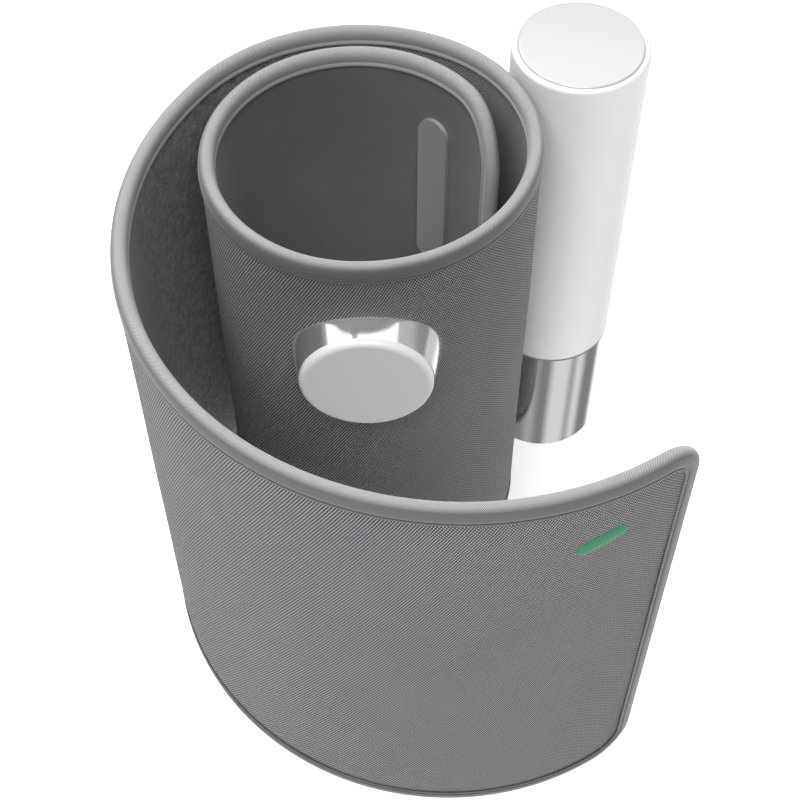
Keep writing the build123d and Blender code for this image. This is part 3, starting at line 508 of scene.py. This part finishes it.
def tapeOutline():
    # half circle of the bead between the two flat sides, closed by the pocket that holds the wall
    turn = np.linspace(90, 270, binding["beadSteps"])
    bead = binding["bead"]
    crown = np.stack([bead + bead * np.cos(np.radians(turn)), bead * np.sin(np.radians(turn))], -1)
    outline = np.concatenate([np.array(binding["outerSide"]) / 1000, crown,
                              np.array(binding["innerSide"]) / 1000, np.array(binding["pocket"]) / 1000])
    gone = np.concatenate([[0], np.cumsum(np.hypot(*np.diff(np.concatenate([outline, outline[:1]]), axis=0).T))])
    middle = gone[len(binding["outerSide"]) + binding["beadSteps"] // 2]
    return outline, middle - gone


def cornerPath(corner, centreRun, centreUp, firstAngle, lastAngle):
    # quarter circle about the corner's centre: points on the edge and the way in from it
    angle = np.radians(np.linspace(firstAngle, lastAngle, binding["cornerSteps"]))
    way = np.stack([np.cos(angle), np.sin(angle)], -1)
    return np.array([centreRun, centreUp]) + corner * way, -way


def straightPath(first, last):
    # straight stretch of the edge from first to last, with the way in on its left
    first, last = np.array(first, float), np.array(last, float)
    gap = last - first
    length = np.hypot(*gap)
    share = np.linspace(0, 1, max(2, int(length / binding["step"])))[:, None]
    inward = np.array([-gap[1], gap[0]]) / length
    return first + gap * share, np.broadcast_to(inward, (len(share), 2))


def edgeTape(name, stretches):
    # the outline carried along the wall's edge: point = edge + inward distance, and out from the wall
    edge = np.concatenate([points for points, inward in stretches])
    inward = np.concatenate([way for points, way in stretches])
    keep = np.concatenate([[True], np.hypot(*np.diff(edge, axis=0).T) > 1e-7])
    edge, inward = edge[keep], inward[keep]
    outline, roundPlace = tapeOutline()
    place = edge[:, None, :] + outline[None, :, 0, None] * inward[:, None, :]
    points = wallPoints(place[..., 0], outline[None, :, 1], place[..., 1])
    gone = np.concatenate([[0], np.cumsum(np.hypot(*np.diff(edge, axis=0).T))])
    uv = np.stack(np.broadcast_arrays(gone[:, None], roundPlace[None, :]), -1)
    return carriedPiece(name, points, uv, tapeMaterial, 75)


tall = wall["height"]
innerLow, innerHigh = wall["innerCorners"]
flapLow, flapHigh = wall["flapCorners"]
cutA, cutB = runAt(wall["cuts"][1]), runAt(wall["cuts"][2])
tapePaths = {
    "inner_end": [straightPath((cutA, tall), (innerHigh, tall)),
                  cornerPath(innerHigh, innerHigh, tall - innerHigh, 90, 180),
                  straightPath((0, tall - innerHigh), (0, innerLow)),
                  cornerPath(innerLow, innerLow, innerLow, 180, 270),
                  straightPath((innerLow, 0), (cutA, 0))],
    "flap_end": [straightPath((cutB, 0), (wallLength - flapLow, 0)),
                 cornerPath(flapLow, wallLength - flapLow, flapLow, 270, 360),
                 straightPath((wallLength, flapLow), (wallLength, tall - flapHigh)),
                 cornerPath(flapHigh, wallLength - flapHigh, tall - flapHigh, 0, 90),
                 straightPath((wallLength - flapHigh, tall), (cutB, tall))],
}

# The wall is cut into three lengths, one for each of the cuff's upright bending lines listed below with their bodies,
# line, way and reach; nothing here bends the pieces over them
bends = {
    "inner_turn": {"bodies": ("inner_end", "tube"), "line": (-0.0963, -0.0324), "way": (0.0, -1.0), "reach": 0.008},
    "back_turn": {"bodies": ("tube", "flap_root"), "line": (-0.1004, -0.0112), "way": (-0.574, -0.819), "reach": 0.015},
    "front_flap": {"bodies": ("flap_root", "flap_end"), "line": (-0.0959, -0.1128), "way": (0.643, -0.766), "reach": 0.015},
}
lengths = dict(zip(bends, zip(wall["cuts"][:-1], wall["cuts"][1:])))


def bendPiece(piece):
    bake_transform(piece)


for length, (firstHeading, lastHeading) in lengths.items():
    for layerName, material, slotName, dipped in (("fabric", twillMaterial, "twill", "out"),
                                                  ("sheet", finishes["spring_sheet"], "spring_sheet", ""),
                                                  ("lining", liningMaterial, "lining", "in")):
        piece = wallLayer(layerName + "_" + length, firstHeading, lastHeading, layers[layerName], material, dipped)
        bendPiece(piece)
print("cuff wall is laid")

tapes = {
    "inner_turn": [("tape_inner_turn", tapePaths["inner_end"])],
    "back_turn": [("tape_back_top", [straightPath((cutB, tall), (cutA, tall))]),
                  ("tape_back_bottom", [straightPath((cutA, 0), (cutB, 0))])],
    "front_flap": [("tape_front_flap", tapePaths["flap_end"])],
}
for length, pieces in tapes.items():
    for name, stretches in pieces:
        piece = edgeTape(name, stretches)
        bendPiece(piece)

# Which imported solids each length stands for
standsFor = {
    "fabric_inner_turn": ["outer_fabric_inner_end"],
    "fabric_back_turn": ["outer_fabric_shoulder"],
    "fabric_front_flap": ["outer_fabric_flap_root", "outer_fabric_flap_end"],
    "sheet_inner_turn": ["stiffener_inner_end"],
    "sheet_back_turn": ["stiffener_shoulder"],
    "sheet_front_flap": ["stiffener_flap_root", "stiffener_flap_end"],
    "lining_inner_turn": ["lining_inner_end"],
    "lining_back_turn": ["lining_shoulder"],
    "lining_front_flap": ["lining_flap_root", "lining_flap_end"],
    "tape_inner_turn": ["edge_binding_inner_end"],
    "tape_back_top": ["edge_binding_shoulder"],
    "tape_front_flap": ["edge_binding_flap_root", "edge_binding_flap_end"],
}
for name, solids in standsFor.items():
    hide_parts(*solids)
print("edge tape is sewn on")


# Stitched bar in green thread near the flap's upper free corner

bar = {"heading": 742.1, "up": 0.1342, "long": 0.0125, "wide": 0.0046, "crown": 0.00055, "rows": 120, "across": 18, "lean": 20}


def stitchedBar():
    # a rounded bar: half width = root of r squared less the overrun squared, crowned by root of 1 - t squared
    half, r = bar["long"] / 2, bar["wide"] / 2
    place = -half * np.cos(np.linspace(0.02, np.pi - 0.02, bar["rows"]))
    over = np.maximum(np.abs(place) - (half - r), 0)
    halfWide = np.sqrt(np.maximum(r * r - over * over, 1e-9))
    t = np.cos(np.linspace(0, np.pi, bar["across"]))
    thread = 0.00004 * np.abs(np.sin(np.pi * place / 0.00034))
    crown = (bar["crown"] + thread)[:, None] * np.sqrt(1 - t ** 2)[None, :] * (halfWide / r)[:, None] ** 0.5
    top = np.stack(np.broadcast_arrays(place[:, None], halfWide[:, None] * t, crown), -1)
    under = top[:, 1:-1][:, ::-1] * [1, 1, 0] - [0, 0, 0.0001]
    rows = np.concatenate([top, under], 1)
    lean = np.radians(bar["lean"])
    run = runAt(bar["heading"]) + rows[..., 0] * np.cos(lean) - rows[..., 1] * np.sin(lean)
    up = bar["up"] + rows[..., 0] * np.sin(lean) + rows[..., 1] * np.cos(lean)
    points = wallPoints(run, wall["half"] + rows[..., 2], up)
    uv = np.concatenate([rows[..., :2], rows[:, :1, :2]], 1)
    return carriedPiece("stitched_bar", points, uv, threadMaterial)


stitches = stitchedBar()
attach(stitches, "flap_end")
print("bar is stitched")


# Hook patch sewn to the inner side of the flap, near its free end

hook = {"headings": (688.6, 753.6), "low": 0.0185, "high": 0.1365, "corner": 0.008, "face": (-0.00185, -0.00245),
        "edge": 0.0002, "step": 0.0016, "upSteps": 60}


def hookSlab():
    # a thin slab on the lining: its height shrinks by r - root(r squared - over squared) at the rounded corners
    first, last = (float(runAt(heading)) for heading in hook["headings"])
    run = np.unique(np.concatenate([np.linspace(first, last, int((last - first) / hook["step"])),
                                    first + hook["corner"] * (1 - np.cos(np.linspace(0, np.pi / 2, 10))),
                                    last - hook["corner"] * (1 - np.cos(np.linspace(0, np.pi / 2, 10)))]))
    over = np.clip(hook["corner"] - np.minimum(run - first, last - run), 0, hook["corner"])
    rise = hook["corner"] - np.sqrt(hook["corner"] ** 2 - over ** 2)
    share = np.linspace(0, 1, hook["upSteps"])
    up = (hook["low"] + rise)[:, None] + (hook["high"] - hook["low"] - 2 * rise)[:, None] * share
    along = np.broadcast_to(run[:, None], up.shape)
    inset = np.zeros(up.shape)
    inset[:, [0, -1]] = hook["edge"]
    inset[[0, -1]] = hook["edge"]
    near, far = hook["face"]
    points = np.concatenate([wallPoints(along, near, up), wallPoints(along, far + inset, up)[:, ::-1]], 1)
    uv = np.stack([np.concatenate([along, along[:, ::-1], along[:, :1]], 1),
                   np.concatenate([up, up[:, ::-1], up[:, :1]], 1)], -1)
    return carriedPiece("hook_slab", points, uv, hookMaterial)


hooks = hookSlab()
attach(hooks, "flap_end")
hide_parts("hook_patch")

# Soft ring low in the gap round the top button, so that the gap is shallow all the way round
gapRing = {"outer": 0.01730, "inner": 0.01686, "top": 0.15732, "deep": 0.0012, "steps": 128}


def gapLiner():
    # a square outline carried round the tube's axis: x = r cos(a), y = r sin(a)
    turn = np.linspace(0, 2 * np.pi, gapRing["steps"] + 1)
    outline = [(gapRing["outer"], gapRing["top"]), (gapRing["inner"], gapRing["top"]),
               (gapRing["inner"], gapRing["top"] - gapRing["deep"]), (gapRing["outer"], gapRing["top"] - gapRing["deep"])]
    ring = bmesh.new()
    rows = [[ring.verts.new((r * np.cos(a), r * np.sin(a), z)) for r, z in outline] for a in turn[:-1]]
    for number, row in enumerate(rows):
        after = rows[(number + 1) % len(rows)]
        for corner in range(4):
            ring.faces.new((row[corner], row[(corner + 1) % 4], after[(corner + 1) % 4], after[corner]))
    bmesh.ops.recalc_face_normals(ring, faces=ring.faces)
    mesh = bpy.data.meshes.new("gap_liner")
    ring.to_mesh(mesh)
    ring.free()
    mesh.shade_smooth()
    mesh.set_sharp_from_angle(angle=radians(40))
    mesh.materials.append(finishes["white_shell"])
    piece = bpy.data.objects.new("gap_liner", mesh)
    bpy.context.scene.collection.objects.link(piece)
    return piece


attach(gapLiner(), "tube")
print("hook patch and gap liner are in")


# Floor, light and camera

studio = {"floorTone": 0.88, "floorGlow": 0.45, "glowBelow": 1.85, "glowBehind": 1.40, "backdrop": 0.95}

# What mirrors see: low down a dim room with four upright soft cards, placed in degrees round the tube from
# the side that faces the camera, and above the horizon a dim room with a large panel and a narrower one
mirror = {
    "cards": {
        "left": {"at": -15, "wide": 20, "glow": 0.45},
        "front": {"at": 40, "wide": 40, "glow": 0.85},
        "right": {"at": 80, "wide": 20, "glow": 0.85},
        "back": {"at": 160, "wide": 60, "glow": 1.3},
    },
    "cardSoft": 14, "cardTurn": 278.6, "lowRoom": 0.25,
    "room": 0.20, "sideLeft": 0.20, "sideRight": 0.66,
    "panel": {"left": -0.22, "right": 0.71, "low": 0.645, "glow": 1.7},
    "narrow": {"left": -0.88, "right": -0.37, "low": 0.45, "glow": 1.3},
}


def paleFloor():
    side = 3.0
    mesh = bpy.data.meshes.new("floor")
    level = -0.0003
    corners = [(-side, -side, level), (side, -side, level), (side, side, level), (-side, side, level)]
    mesh.from_pydata(corners, [], [(0, 1, 2, 3)])
    material, tree, shader = startMaterial("floorPale", 0.85)
    where = addNode(tree, "ShaderNodeTexCoord").outputs["Object"]
    tone = studio["floorTone"]
    tree.links.new(mixColours(tree, maths(tree, "MULTIPLY", noise(tree, where, 3, 2), 0.03), (tone, tone, tone),
                              (tone * 0.95,) * 3), shader.inputs["Base Color"])
    shader.inputs["Emission Color"].default_value = (1, 1, 1, 1)
    shader.inputs["Emission Strength"].default_value = studio["floorGlow"]
    mesh.materials.append(material)
    floor = bpy.data.objects.new("floor", mesh)
    bpy.context.scene.collection.objects.link(floor)
    floor.visible_diffuse = False
    floor.visible_glossy = False


def softWorld():
    # light comes back from below, as off a white table, and from behind; the camera sees a pale backdrop
    world = bpy.data.worlds.new("studio")
    world.use_nodes = True
    bpy.context.scene.world = world
    tree = world.node_tree
    background = tree.nodes["Background"]
    parts = addNode(tree, "ShaderNodeSeparateXYZ", {0: addNode(tree, "ShaderNodeTexCoord").outputs["Generated"]})
    below = spread(tree, parts.outputs[2], -0.15, 0.1, studio["glowBelow"], 0)
    behind = maths(tree, "MAXIMUM", maths(tree, "MULTIPLY", parts.outputs[1], studio["glowBehind"]), 0.0)
    around = maths(tree, "ADD", below, behind)
    seenX, seenY, seenZ = (parts.outputs[number] for number in range(3))
    turn = maths(tree, "MULTIPLY_ADD", maths(tree, "ARCTAN2", seenY, seenX), 1 / (2 * np.pi), mirror["cardTurn"] / 360)
    angle = maths(tree, "MULTIPLY_ADD", maths(tree, "FRACT", turn), 360, -180)
    low = mirror["lowRoom"]
    for card in mirror["cards"].values():
        off = maths(tree, "ABSOLUTE", maths(tree, "SUBTRACT", angle, card["at"]))
        half, soft = card["wide"] / 2, mirror["cardSoft"] / 2
        low = mixNumbers(tree, spread(tree, off, half - soft, half + soft, 1.0, 0.0), low, card["glow"])
    room = mirror["room"]
    for panel in (mirror["panel"], mirror["narrow"]):
        inside = maths(tree, "MULTIPLY", spread(tree, seenX, panel["left"] - 0.03, panel["left"] + 0.03),
                       spread(tree, seenX, panel["right"] - 0.03, panel["right"] + 0.03, 1.0, 0.0))
        inside = maths(tree, "MULTIPLY", inside, spread(tree, seenZ, panel["low"] - 0.012, panel["low"] + 0.012))
        room = mixNumbers(tree, inside, room, panel["glow"])
    sides = spread(tree, seenX, -0.6, 0.6, mirror["sideLeft"], mirror["sideRight"])
    lower = mixNumbers(tree, spread(tree, seenZ, -0.62, -0.45), low, sides)
    mirrored = mixNumbers(tree, spread(tree, seenZ, -0.25, -0.15), lower, room)
    rays = addNode(tree, "ShaderNodeLightPath").outputs
    seen = mixNumbers(tree, rays["Is Glossy Ray"], around, mirrored)
    seen = mixNumbers(tree, rays["Is Camera Ray"], seen, studio["backdrop"])
    background.inputs["Color"].default_value = (1, 1, 1, 1)
    tree.links.new(seen, background.inputs["Strength"])


lamps = {
    "key": {"at": (-0.10, -0.75, 1.25), "towards": (-0.05, -0.04, 0.08), "size": (0.9, 0.7), "power": 15.0},
    "highLeft": {"at": (-0.70, -0.10, 1.15), "towards": (-0.02, 0.0, 0.15), "size": (0.4, 0.4), "power": 3.2},
    "backPanel": {"at": (-0.35, 0.65, 1.20), "towards": (-0.04, -0.02, 0.1), "size": (0.8, 0.5), "power": 9.5},
    "rightPanel": {"at": (0.9, 0.05, 0.5), "towards": (0.0, 0.0, 0.08), "size": (0.5, 0.9), "power": 0.4},
    "leftPanel": {"at": (-0.95, -0.35, 0.5), "towards": (-0.05, -0.05, 0.08), "size": (0.4, 0.7), "power": 1.1},
}


def softLamp(name, lamp):
    light = bpy.data.lights.new(name, "AREA")
    light.shape = "RECTANGLE"
    light.size, light.size_y = lamp["size"]
    light.energy = lamp["power"]
    panel = bpy.data.objects.new(name, light)
    panel.location = lamp["at"]
    panel.rotation_euler = (Vector(lamp["towards"]) - Vector(lamp["at"])).to_track_quat("-Z", "Y").to_euler()
    bpy.context.scene.collection.objects.link(panel)


eye = {"at": (-0.04773, -0.31585, 0.42839), "down": 53.56886, "lens": 69.4355}


def photoCamera():
    # at the photograph's place: straight above the front, looking down at the cuff
    lens = bpy.data.cameras.new("camera")
    lens.lens = eye["lens"]
    lens.sensor_width = 36
    lens.clip_start = 0.01
    camera = bpy.data.objects.new("camera", lens)
    camera.location = eye["at"]
    camera.rotation_euler = (radians(90 - eye["down"]), 0, 0)
    bpy.context.scene.collection.objects.link(camera)
    bpy.context.scene.camera = camera


paleFloor()
softWorld()
for name, lamp in lamps.items():
    softLamp(name, lamp)
photoCamera()
view = bpy.context.scene.view_settings
view.view_transform = "Standard"
view.look = "None"
print("studio is set")
